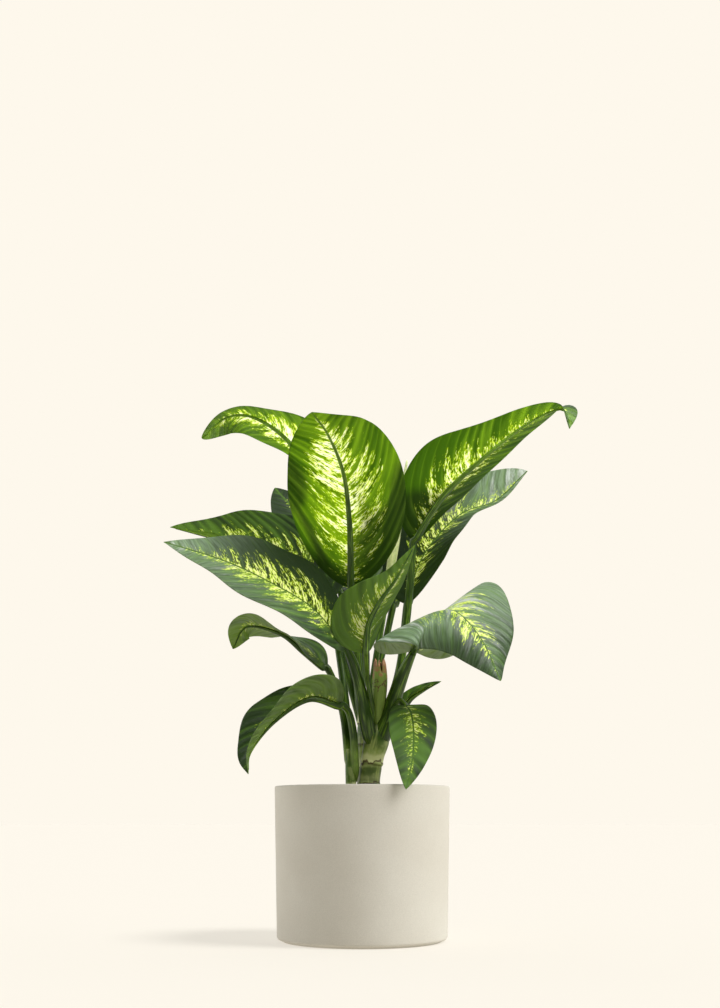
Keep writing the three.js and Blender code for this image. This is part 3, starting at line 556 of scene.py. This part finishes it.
def sheath_material():
    """Cut leaf sheath: ribbed green skin that has dried to brown paper round the torn end."""
    material, add = fresh_material("Leaf sheath, torn and dried end")
    if add is None:
        return material
    place = add("TexCoord", (), "Object")
    height = add("SeparateXYZ", [place], "Z")
    # Fibres: about 30 round the sheath, each some 33 mm long
    fibre = stem_fibres(add, 5.0, 30.0)
    # Blotches of about 6 mm
    blotch = add("TexNoise", {"Vector": place, "Scale": 160.0, "Detail": 4.0})
    green = add("Mix", {0: fibre, 6: rgba("#4c6a18"), 7: rgba("#93aa4c")}, **COLOUR)
    torn = add("Math", (blotch, 50 * MM, height), operation="MULTIPLY_ADD")
    brown = add("MapRange", (torn, 324 * MM, 332 * MM), **SMOOTH)
    husk = add("Mix", {0: blotch, 6: rgba("#3c1f0e"), 7: rgba("#b98a58")}, **COLOUR)
    colour = add("Mix", {0: brown, 6: green, 7: husk}, **COLOUR)
    # A brown scar runs round it under the torn end
    off = add("Math", (torn, 313 * MM), operation="SUBTRACT")
    off = add("Math", [off], operation="ABSOLUTE")
    scar = add("MapRange", (off, 0.4 * MM, 2.8 * MM, 0.9, 0.0), **SMOOTH)
    colour = add("Mix", {0: scar, 6: colour, 7: rgba("#5a3826")}, **COLOUR)
    bump = add("Bump", {"Strength": 0.6, "Distance": 0.6 * MM, "Height": fibre})
    surface = add("BsdfPrincipled", {
        "Base Color": colour, "Roughness": 0.6, "IOR": 1.45, "Normal": bump})
    add("OutputMaterial", {"Surface": surface})
    return material


def stoneware():
    """Cast stoneware under a dry matt slip: no gloss, faint turning lines and fine grit."""
    material, add = fresh_material("Stoneware, matt slip")
    if add is None:
        return material
    place = add("TexCoord", (), "Object")
    # Turning lines lie about 2.5 mm apart up the wall
    rings = add("Mapping", {"Vector": place, "Scale": (6, 6, 400)})
    lines = add("TexNoise", {"Vector": rings, "Scale": 1.0, "Detail": 4.0})
    # Grit of about 0.3 mm, drawn at 1 mm so that it shows
    grit = add("TexNoise", {"Vector": place, "Scale": 1000.0, "Detail": 2.0})
    # The slip is a touch paler in clouds of about 70 mm
    cloud = add("TexNoise", {"Vector": place, "Scale": 14.0, "Detail": 3.0})
    tone = add("MapRange", (cloud, 0.3, 0.7))
    base = add("Mix", {0: tone, 6: rgba("#cac5b8"), 7: rgba("#d0ccc0")}, **COLOUR)
    speck = add("MapRange", (grit, 0.3, 0.7, 0.94, 1.04))
    base = add("Mix", {0: 1.0, 6: base, 7: speck}, **COLOUR, blend_type="MULTIPLY")
    height = add("Math", (grit, 0.5, lines), operation="MULTIPLY_ADD")
    bump = add("Bump", {"Strength": 0.2, "Distance": 0.4 * MM, "Height": height})
    surface = add("BsdfPrincipled", {
        "Base Color": base, "Roughness": 0.85, "IOR": 1.5, "Specular IOR Level": 0.25,
        "Normal": bump})
    add("OutputMaterial", {"Surface": surface})
    return material


def crumbly(name, dark, pale):
    """Moist peat and bark: crumbly, no shine."""
    material, add = fresh_material(name)
    if add is None:
        return material
    place = add("TexCoord", (), "Object")
    # Crumbs of 2 to 4 mm, with grains of 1 mm on them
    crumbs = add("TexVoronoi", {"Vector": place, "Scale": 320.0})
    rough = add("TexNoise", {"Vector": place, "Scale": 500.0, "Detail": 4.0})
    base = add("Mix", {0: rough, 6: rgba(dark), 7: rgba(pale)}, **COLOUR)
    height = add("Math", (rough, 0.6, crumbs), operation="MULTIPLY_ADD")
    bump = add("Bump", {"Strength": 0.8, "Distance": 2 * MM, "Height": height})
    surface = add("BsdfPrincipled", {
        "Base Color": base, "Roughness": 0.95, "Specular IOR Level": 0.2, "Normal": bump})
    add("OutputMaterial", {"Surface": surface})
    return material


def deselect():
    if bpy.context.object and bpy.context.object.mode != "OBJECT":
        bpy.ops.object.mode_set(mode="OBJECT")
    bpy.ops.object.select_all(action="DESELECT")


def finish_piece(piece, name, node):
    """Names a finished piece, ties it to the body and hides the solid that it dresses."""
    piece.name = name
    piece.data.name = name
    piece.data.polygons.foreach_set("use_smooth", [True] * len(piece.data.polygons))
    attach(piece, "root")
    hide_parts(node)


def laid_grid(rows, uvs):
    """A grid primitive whose points are moved to the rows of points, in millimetres."""
    deselect()
    steps, sides = len(rows) - 1, len(rows[0]) - 1
    bpy.ops.mesh.primitive_grid_add(x_subdivisions=sides, y_subdivisions=steps, size=2, calc_uvs=True)
    piece = bpy.context.object
    mesh = piece.data
    places = []
    for vertex in mesh.vertices:
        j = round((vertex.co.x + 1) / 2 * sides)
        i = round((vertex.co.y + 1) / 2 * steps)
        places.append((i, j))
        vertex.co = rows[i][j] * MM
    layer = mesh.uv_layers["UVMap"]
    for loop in mesh.loops:
        i, j = places[loop.vertex_index]
        layer.data[loop.index].uv = uvs(i, j)
    return piece, places


def skin(rings, lengths):
    """A closed skin through rings of points: a grid wrapped round, its seam merged and its ends
    filled. The UV map holds the turn and the length in metres."""
    wrapped = [[*ring, ring[0]] for ring in rings]
    sides = len(rings[0])
    piece, _ = laid_grid(wrapped, lambda i, j: (j / sides, lengths[i] * MM))
    bpy.ops.object.mode_set(mode="EDIT")
    bpy.ops.mesh.select_all(action="SELECT")
    bpy.ops.mesh.remove_doubles(threshold=0.002 * MM)
    bpy.ops.mesh.select_all(action="DESELECT")
    bpy.ops.mesh.select_non_manifold()
    bpy.ops.mesh.fill_holes(sides=0)
    bpy.ops.mesh.select_all(action="SELECT")
    bpy.ops.mesh.normals_make_consistent(inside=False)
    bpy.ops.object.mode_set(mode="OBJECT")
    return piece


def arc(centre_r, centre_z, radius, start, steps):
    """A quarter round of a turned profile, from the start angle on."""
    turns = [start + QUARTER * i / steps for i in range(steps + 1)]
    return [(centre_r + radius * math.cos(turn), centre_z + radius * math.sin(turn)) for turn in turns]


def turned(profile, sides):
    """Rings of points: a profile of radii and heights, turned round the pot's axis."""
    turns = [FULL_TURN * k / sides for k in range(sides)]
    return [[Vector((r * math.cos(turn), r * math.sin(turn), z)) for turn in turns] for r, z in profile]


def stem(centres, radii, sides, section=None, lean=(0, -1, 0)):
    """A stem through centre points. section(i, angle) is the share of the radius at an angle
    from the side that lean points to."""
    rings, lengths = [], [0.0]
    side = Vector(lean)
    last = len(centres) - 1
    for i, centre in enumerate(centres):
        if i:
            lengths.append(lengths[-1] + (centre - centres[i - 1]).length)
        tangent = (centres[min(i + 1, last)] - centres[max(i - 1, 0)]).normalized()
        side = squared(side, tangent)
        other = tangent.cross(side)
        ring = []
        for k in range(sides):
            angle = FULL_TURN * k / sides - math.pi
            radius = radii[i] * (section(i, angle) if section else 1)
            ring.append(centre + (side * math.cos(angle) + other * math.sin(angle)) * radius)
        rings.append(ring)
    return skin(rings, lengths)


def outline(t, blunt, taper):
    """Half-width of a blade as a share of its widest."""
    widest = blunt / (blunt + taper)
    return (t ** blunt * (1 - t) ** taper) / (widest ** blunt * (1 - widest) ** taper)


def pick(leaf, key, side, t, default=0):
    """A leaf's value on one half at t: a number, a list from base to tip, or one of each per half."""
    value = leaf.get(key, default)
    if isinstance(value, dict):
        value = value["left" if side < 0 else "right"]
    return spline(value, t) if isinstance(value, list) else value


def blade_shares(rows):
    """Shares of the midrib at which the rows lie, closer together at the base and the tip."""
    return [0.4 * i / rows + 0.6 * (1 - math.cos(math.pi * i / rows)) / 2 for i in range(rows + 1)]


def blade_rows(leaf, shares):
    """Points of the blade's middle sheet, row by row from the base, left margin to right margin,
    and the distance of each from the midrib."""
    rib = Route(leaf["rib"])
    blunt, taper = leaf.get("blunt", 0.55), leaf.get("taper", 0.85)
    grid, widths = [], []
    for t in shares:
        tangent = rib.tangent(t)
        up = squared(spline(leaf["face"], t), tangent)
        right = tangent.cross(up)
        point = rib.at(t)
        row = [None] * (2 * HALF_COLUMNS + 1)
        row[HALF_COLUMNS] = point
        reach = [0.0] * len(row)
        for side in (-1, 1):
            share = outline(t, blunt, taper)
            width = max(pick(leaf, "half", side, t) * share, LEAST_HALF)
            step = width / HALF_COLUMNS
            lobe = pick(leaf, "lobe", side, t) * share * (1 - t) ** 4
            fold = math.radians(pick(leaf, "fold", side, t))
            curl = math.radians(pick(leaf, "curl", side, t))
            # The two halves wave out of step with each other
            waves = 3 * t + (0.23 if side > 0 else 0)
            place = point
            for k in range(1, HALF_COLUMNS + 1):
                s = (k - 0.5) / HALF_COLUMNS
                turn = (fold + curl * s) * (1 - math.exp(-s / FOLD_START))
                place = place + right * (side * math.cos(turn) * step) + up * (math.sin(turn) * step)
                s = k / HALF_COLUMNS
                lift = leaf.get("wave", 0) * s ** 1.5 * math.sin(math.pi * t) ** 0.5 * math.sin(
                    FULL_TURN * waves)
                # The tissue stands up a little between the side veins
                out = width * s
                vein = t * rib.length - out * (VEIN_SLANT + VEIN_TURN * t + VEIN_BEND * out)
                vein += VEIN_DRIFT * math.sin(vein / VEIN_DRIFT_LENGTH)
                quilt = VEIN_HEIGHT * math.sin(FULL_TURN * vein / VEIN_PITCH)
                quilt *= math.sin(math.pi * min(s, 0.9)) ** 0.5 * min(1, 4 * (1 - t))
                row[HALF_COLUMNS + side * k] = place + up * (lift + quilt) - tangent * (lobe * s * s)
                reach[HALF_COLUMNS + side * k] = side * width * s
        grid.append(row)
        widths.append(reach)
    return grid, widths, rib.length


def add_blade(leaf, number, rows, thickness):
    """A blade: a grid laid on the leaf's surface, then given its thickness."""
    shares = blade_shares(rows)
    grid, widths, length = blade_rows(leaf, shares)
    piece, places = laid_grid(grid, lambda i, j: (j / (2 * HALF_COLUMNS), shares[i]))
    mesh = piece.data
    real = mesh.attributes.new("leaf_mm", "FLOAT_VECTOR", "POINT")
    real.data.foreach_set("vector", [
        x for i, j in places for x in (widths[i][j], shares[i] * length, number)])
    for key, plain in LEAF_VALUES.items():
        share = mesh.attributes.new("leaf_" + key, "FLOAT", "POINT")
        share.data.foreach_set("value", [
            pick(leaf, key, widths[i][j], shares[i], plain) for i, j in places])
    mesh.materials.append(upper_leaf())
    mesh.materials.append(lower_leaf())
    solid = piece.modifiers.new("Thickness", "SOLIDIFY")
    solid.thickness = thickness
    solid.offset = 0
    solid.material_offset = 1
    solid.material_offset_rim = 1
    bpy.ops.object.modifier_apply(modifier="Thickness")
    return piece


def add_stalk(leaf):
    """The stalk and the raised midrib under the blade, one tapering stem. The lower stalk is a
    sheath: a channel with a raised edge on each side."""
    rib = Route(leaf["rib"])
    stalk_steps, rib_steps, rib_end, rib_tip = 36, 44, 0.97, 0.45
    centres = along([*leaf["stalk"], leaf["rib"][0]], stalk_steps)
    radii = along([*leaf["thick"], RIB_RADIUS], stalk_steps)
    # The foot tapers off down the cane that it clasps
    foot_steps, foot_length = 8, 14
    start, way = centres[0], (centres[1] - centres[0]).normalized()
    thick = radii[0]
    for i in range(1, foot_steps + 1):
        centres.insert(0, start - way * (foot_length * i / foot_steps))
        radii.insert(0, thick * (1 - 0.8 * (i / foot_steps) ** 1.5))
    for i in range(1, rib_steps + 1):
        t = rib_end * i / rib_steps
        radius = RIB_RADIUS + (rib_tip - RIB_RADIUS) * i / rib_steps
        up = squared(spline(leaf["face"], t), rib.tangent(t))
        # The rib's top lies just inside the blade
        centres.append(rib.at(t) + up * (0.15 - radius))
        radii.append(radius)

    # The channel and its edges die away three quarters of the way up
    def section(i, angle):
        depth = min(1.0, max(0.0, 1 - (i - foot_steps) / (0.75 * stalk_steps)))
        return 1 + depth * (0.16 * bell(abs(angle) - 0.7, 0.2) - 0.3 * bell(angle, 0.45))

    piece = stem(centres, radii, 20, section, spline(leaf["face"], 0))
    piece.data.materials.append(stem_material("Leaf stalk, green", STALK_ZONES, "#8cb23c", [], 0.32))
    return piece


def soil_height(r):
    """How high the soil lies at a distance from the axis: it rises a little from the wall."""
    return SOIL_TOP + SOIL_CROWN * min(1, (SOIL_RADIUS - r) / SOIL_RISE)


class DieffenbachiaSizes(bpy.types.PropertyGroup):
    """Sizes that a user would change."""
    blade_thickness: bpy.props.FloatProperty(
        name="Blade thickness", description="Thickness of a leaf blade",
        default=0.0006, min=0.0002, max=0.002, unit="LENGTH")
    leaf_rows: bpy.props.IntProperty(
        name="Leaf rows", description="Rows of faces along each blade", default=120, min=20, max=200)
    chips: bpy.props.IntProperty(
        name="Bark chips", description="Number of bark chips on the soil", default=260, min=0, max=600)


class DieffenbachiaColours(bpy.types.PropertyGroup):
    """Colours that a user would change."""
    backdrop: bpy.props.FloatVectorProperty(
        name="Backdrop", description="Colour of the studio's backdrop and floor",
        subtype="COLOR", size=3, default=linear("#fef8ec"), min=0, max=1)


class DIEFFENBACHIA_OT_stage(bpy.types.Operator):
    """Make the studio: floor, backdrop colour, lights and camera"""
    bl_idname = "dieffenbachia.stage"
    bl_label = "Stage"

    def execute(self, context):
        deselect()
        colour = tuple(context.scene.dieffenbachia_colours.backdrop)
        bpy.ops.mesh.primitive_circle_add(vertices=96, radius=30, fill_type="NGON")
        floor = context.object
        floor.name = "studio_floor"
        material, add = fresh_material("Studio floor, pale paper")
        # Paper lit up to the backdrop's tone: part of it is its own light, so shadows stay faint
        glow = add("Emission", {"Color": (*colour, 1), "Strength": PAPER_GLOW})
        paper = add("BsdfDiffuse", {"Color": (*[c * PAPER_SHARE for c in colour], 1)})
        add("OutputMaterial", {"Surface": add("AddShader", (glow, paper))})
        floor.data.materials.append(material)

        scene = context.scene
        scene.view_settings.view_transform = "Standard"
        world = bpy.data.worlds.new("Studio")
        scene.world = world
        world.use_nodes = True
        world.node_tree.nodes.clear()
        add = functools.partial(put, world.node_tree)
        # The camera sees the backdrop's colour. The room's light is neutral: bright from behind
        # and above, dim from the front.
        _, back, up = add("SeparateXYZ", [add("TexCoord", (), "Generated")]).node.outputs
        lift = add("Math", (back, 0.5), operation="MULTIPLY")
        lift = add("Math", (up, 0.75, lift), operation="MULTIPLY_ADD")
        room = add("MapRange", (lift, 0.0, 0.9, ROOM_FRONT, ROOM_BACK), **SMOOTH)
        lit = add("Background", {"Color": (1, 1, 1, 1), "Strength": room})
        seen = add("Background", {"Color": (*colour, 1), "Strength": 1.0})
        from_camera = add("LightPath", (), "Is Camera Ray")
        add("OutputWorld", {"Surface": add("MixShader", (from_camera, lit, seen))})

        # The back light is there to shine through the leaves at the top, so the others are
        # flagged off from it. Each light: name, where it comes from, how wide it looks in
        # degrees, its strength, and what it leaves alone.
        lit_through = ("leaf_front", "leaf_upper_right", "leaf_top_left")
        shaded = [name + "_fine" for name in (*LEAVES, *CANES, "rolled_leaf", "cut_sheath", "soil", "pot")
                  if name not in lit_through]
        lights = (
            ("key_right", (1.0, -0.4, 1.0), 40, 3.2, ["studio_floor"]),
            ("top_softbox", (0.1, -0.6, 1.0), 35, 2.4, ["studio_floor", "pot_fine"]),
            ("rim_left", (-1.0, 0.2, 0.4), 50, 1.1, ["studio_floor"]),
            ("back_light", (0.45, 0.85, 0.4), 6, 13.0, ["studio_floor", "bark_chips", *shaded]),
            ("floor_light", (1.0, -0.3, 1.2), 22, 2.7, []),
        )
        for name, place, width, strength, left_out in lights:
            away = Vector(place)
            bpy.ops.object.light_add(
                type="SUN", location=away * 2, rotation=(-away).to_track_quat("-Z", "Y").to_euler())
            lamp = context.object
            lamp.name = name
            lamp.data.angle = math.radians(width)
            lamp.data.energy = strength
            lamp.visible_glossy = name != "back_light"
            receivers = bpy.data.collections.new("receivers_" + name)
            lamp.light_linking.receiver_collection = receivers
            for piece_name in left_out or ["studio_floor"]:
                receivers.objects.link(bpy.data.objects[piece_name])
            for member in receivers.collection_objects:
                member.light_linking.link_state = "EXCLUDE" if left_out else "INCLUDE"
        # The floor's light is for the floor alone, and only the pot throws a shadow in it
        blockers = bpy.data.collections.new("blockers_floor_light")
        lamp.light_linking.blocker_collection = blockers
        blockers.objects.link(bpy.data.objects["pot_fine"])

        bpy.ops.object.camera_add(
            location=CAMERA_PLACE, rotation=(QUARTER + math.radians(CAMERA_PITCH), 0, 0))
        camera = context.object
        camera.name = "photo_camera"
        camera.data.lens = CAMERA_LENS
        camera.data.sensor_width = 36
        camera.data.shift_y = CAMERA_SHIFT
        scene.camera = camera
        return {"FINISHED"}


class DIEFFENBACHIA_OT_pot(bpy.types.Operator):
    """Make the stoneware pot"""
    bl_idname = "dieffenbachia.pot"
    bl_label = "Pot"

    def execute(self, context):
        foot, foot_height, edge, lip = BASE_RADIUS - 6, 2, 3.6, 1.5
        wall_start, wall_steps, corner = 7, 20, 6
        inner = BASE_RADIUS - WALL
        # Round the foot and up the wall, over the lip and down the inside
        profile = [(0, 0), (foot - 1, 0), (foot, foot_height)]
        profile += arc(BASE_RADIUS - edge, foot_height + edge, edge, -QUARTER, 8)
        for i in range(1, wall_steps):
            share = i / wall_steps
            profile.append((BASE_RADIUS + (RIM_RADIUS - BASE_RADIUS) * share,
                            wall_start + (POT_HEIGHT - lip - wall_start) * share))
        profile += arc(RIM_RADIUS - lip, POT_HEIGHT - lip, lip, 0, 6)
        profile += arc(RIM_RADIUS - WALL + lip, POT_HEIGHT - lip, lip, QUARTER, 6)
        profile += [(inner, FLOOR_HEIGHT + corner), (inner - corner, FLOOR_HEIGHT), (0, FLOOR_HEIGHT)]
        piece = skin(turned(profile, 160), [z for _, z in profile])
        piece.data.materials.append(stoneware())
        finish_piece(piece, "pot_fine", "pot")
        return {"FINISHED"}


class DIEFFENBACHIA_OT_soil(bpy.types.Operator):
    """Make the crumbly soil and its bark chips"""
    bl_idname = "dieffenbachia.soil"
    bl_label = "Soil"

    def execute(self, context):
        # Along the pot's floor, up its wall and over the top to the middle
        bottom, brim, top_steps = FLOOR_HEIGHT + 0.3, SOIL_RADIUS - 0.7, 44
        profile = [(0, bottom), (BASE_RADIUS - WALL - 7, bottom),
                   (BASE_RADIUS - WALL - 0.6, FLOOR_HEIGHT + 7), (brim, SOIL_TOP - 3)]
        for i in range(1, top_steps + 1):
            r = brim - brim * i / top_steps
            profile.append((r, soil_height(r)))
        rings = turned(profile, 144)
        # The top is crumbly: lumps of about 9 mm with smaller ones on them
        for ring in rings[-top_steps:]:
            for point in ring:
                point.z += 1.6 * noise.fractal(point / 9, 0.8, 2.0, 4) - 0.6
        piece = skin(rings, [r for r, _ in profile])
        piece.data.materials.append(crumbly("Potting soil, peat", "#1d1410", "#4f3d2e"))
        finish_piece(piece, "soil_fine", "soil")

        # One rough chip, copied with its own mesh each time
        deselect()
        bpy.ops.mesh.primitive_ico_sphere_add(subdivisions=2, radius=1)
        chip = context.object
        for vertex in chip.data.vertices:
            vertex.co *= 1 + 0.35 * noise.noise(vertex.co * 1.7)
        draw = random.Random(7)
        chips = [chip]
        for i in range(context.scene.dieffenbachia_sizes.chips):
            copy = chip.copy()
            copy.data = chip.data.copy()
            context.collection.objects.link(copy)
            chips.append(copy)
        for copy in chips:
            turn = draw.uniform(0, FULL_TURN)
            r = (SOIL_RADIUS - 5) * math.sqrt(draw.uniform(0.01, 1))
            size = draw.uniform(1.0, 3.4)
            spin = draw.uniform(0, FULL_TURN)
            flat = draw.uniform(0.35, 0.6)
            long = draw.uniform(1.0, 1.9)
            base = Vector((r * math.cos(turn), r * math.sin(turn), soil_height(r)))
            for vertex in copy.data.vertices:
                x, y, z = vertex.co.x * long, vertex.co.y, vertex.co.z * flat
                spun = Vector((
                    x * math.cos(spin) - y * math.sin(spin), x * math.sin(spin) + y * math.cos(spin), z))
                vertex.co = (base + size * spun) * MM
        deselect()
        for copy in chips:
            copy.select_set(True)
        context.view_layer.objects.active = chip
        bpy.ops.object.join()
        chip.data.materials.append(crumbly("Bark chips, composted", "#33241a", "#77604a"))
        finish_piece(chip, "bark_chips", "soil")
        return {"FINISHED"}


class DIEFFENBACHIA_OT_canes(bpy.types.Operator):
    """Make the canes and the side shoot, with the node rings that old leaves left"""
    bl_idname = "dieffenbachia.canes"
    bl_label = "Canes"

    def execute(self, context):
        steps = 110
        for name, spec in CANES.items():
            centres = along(spec["path"], steps)
            radii = along(spec["radius"], steps)
            # Each ring swells out over a shallow groove
            for i, centre in enumerate(centres):
                radii[i] += sum(0.8 * bell(centre.z - ring, 1.6) - 0.35 * bell(centre.z - ring + 3.5, 1.4)
                                for ring in spec["rings"])
            piece = stem(centres, radii, 32)
            piece.data.materials.append(stem_material(
                "Cane skin, " + name.replace("_", " "), spec["zones"], "#b4c268", spec["rings"], 0.4))
            finish_piece(piece, name + "_fine", name)
        return {"FINISHED"}


class DIEFFENBACHIA_OT_sprouts(bpy.types.Operator):
    """Make the rolled young leaf and the torn stub of a cut leaf sheath"""
    bl_idname = "dieffenbachia.sprouts"
    bl_label = "Sprouts"

    def execute(self, context):
        # The young leaf is still rolled round itself, so a free edge winds half a turn up its length
        steps = 90

        def rolled(i, angle):
            wound = (angle / FULL_TURN + 0.5 + 0.5 * i / steps) % 1
            return 0.92 + 0.16 * wound

        piece = stem(along(ROLLED_LEAF["path"], steps), along(ROLLED_LEAF["radius"], steps), 36, rolled)
        piece.data.materials.append(stem_material("Young leaf, rolled", ROLLED_ZONES, "#8fb04e", [], 0.42))
        finish_piece(piece, "rolled_leaf_fine", "rolled_leaf")

        # The stub: up the outside to a ragged edge, and down the inside
        steps, inside, sides, thickness = 70, 30, 40, 1.3
        path = CUT_SHEATH["path"]
        length = (spline(path, 1) - spline(path, 0)).length
        rings, lengths = [], []
        for n in range(steps + inside + 1):
            outer = n <= steps
            share = n / steps if outer else 1 - 0.35 * (n - steps) / inside
            centre = spline(path, share)
            radius = spline(CUT_SHEATH["radius"], share) - (0 if outer else thickness)
            # The end draws in, and it is torn deeply here and there with small tears between
            radius *= 1 if share < 0.93 else 1 - 3 * (share - 0.93)
            ring = []
            for k in range(sides):
                angle = FULL_TURN * k / sides
                x, y = math.cos(angle), math.sin(angle)
                ribbed = radius * (1 + 0.035 * math.cos(11 * angle))
                ragged = 22 * abs(noise.noise(Vector((1.6 * x, 1.6 * y, 3))))
                ragged += 9 * abs(noise.noise(Vector((6 * x, 6 * y, 1))))
                drop = max(0, share - 0.7) / 0.3 * (ragged + 1)
                ring.append(centre + Vector((ribbed * x, ribbed * y, -drop)))
            rings.append(ring)
            lengths.append(share * length)
        piece = skin(rings, lengths)
        piece.data.materials.append(sheath_material())
        finish_piece(piece, "cut_sheath_fine", "cut_sheath")
        return {"FINISHED"}


class DIEFFENBACHIA_OT_leaves(bpy.types.Operator):
    """Make the leaves, each with its stalk and midrib"""
    bl_idname = "dieffenbachia.leaves"
    bl_label = "Leaves"

    def execute(self, context):
        sizes = context.scene.dieffenbachia_sizes
        for number, (name, leaf) in enumerate(LEAVES.items()):
            stalk = add_stalk(leaf)
            blade = add_blade(leaf, number, sizes.leaf_rows, sizes.blade_thickness)
            deselect()
            stalk.select_set(True)
            blade.select_set(True)
            context.view_layer.objects.active = blade
            bpy.ops.object.join()
            finish_piece(blade, name + "_fine", name)
        return {"FINISHED"}


OPERATORS = (
    DIEFFENBACHIA_OT_pot, DIEFFENBACHIA_OT_soil, DIEFFENBACHIA_OT_canes,
    DIEFFENBACHIA_OT_sprouts, DIEFFENBACHIA_OT_leaves, DIEFFENBACHIA_OT_stage,
)


class DIEFFENBACHIA_PT_panel(bpy.types.Panel):
    """Lists the plant's pieces in the sidebar"""
    bl_label = "Potted dieffenbachia"
    bl_space_type = "VIEW_3D"
    bl_region_type = "UI"
    bl_category = "Plant"

    def draw(self, context):
        scene = context.scene
        for size in ("blade_thickness", "leaf_rows", "chips"):
            self.layout.prop(scene.dieffenbachia_sizes, size)
        self.layout.prop(scene.dieffenbachia_colours, "backdrop")
        for operator in OPERATORS:
            self.layout.operator(operator.bl_idname)


CLASSES = (DieffenbachiaSizes, DieffenbachiaColours, *OPERATORS, DIEFFENBACHIA_PT_panel)


def register():
    for cls in CLASSES:
        bpy.utils.register_class(cls)
    bpy.types.Scene.dieffenbachia_sizes = bpy.props.PointerProperty(type=DieffenbachiaSizes)
    bpy.types.Scene.dieffenbachia_colours = bpy.props.PointerProperty(type=DieffenbachiaColours)


def unregister():
    del bpy.types.Scene.dieffenbachia_colours
    del bpy.types.Scene.dieffenbachia_sizes
    for cls in reversed(CLASSES):
        bpy.utils.unregister_class(cls)


def main():
    register()
    bpy.ops.dieffenbachia.pot()
    bpy.ops.dieffenbachia.soil()
    bpy.ops.dieffenbachia.canes()
    bpy.ops.dieffenbachia.sprouts()
    bpy.ops.dieffenbachia.leaves()
    bpy.ops.dieffenbachia.stage()


if __name__ == "__main__":
    main()
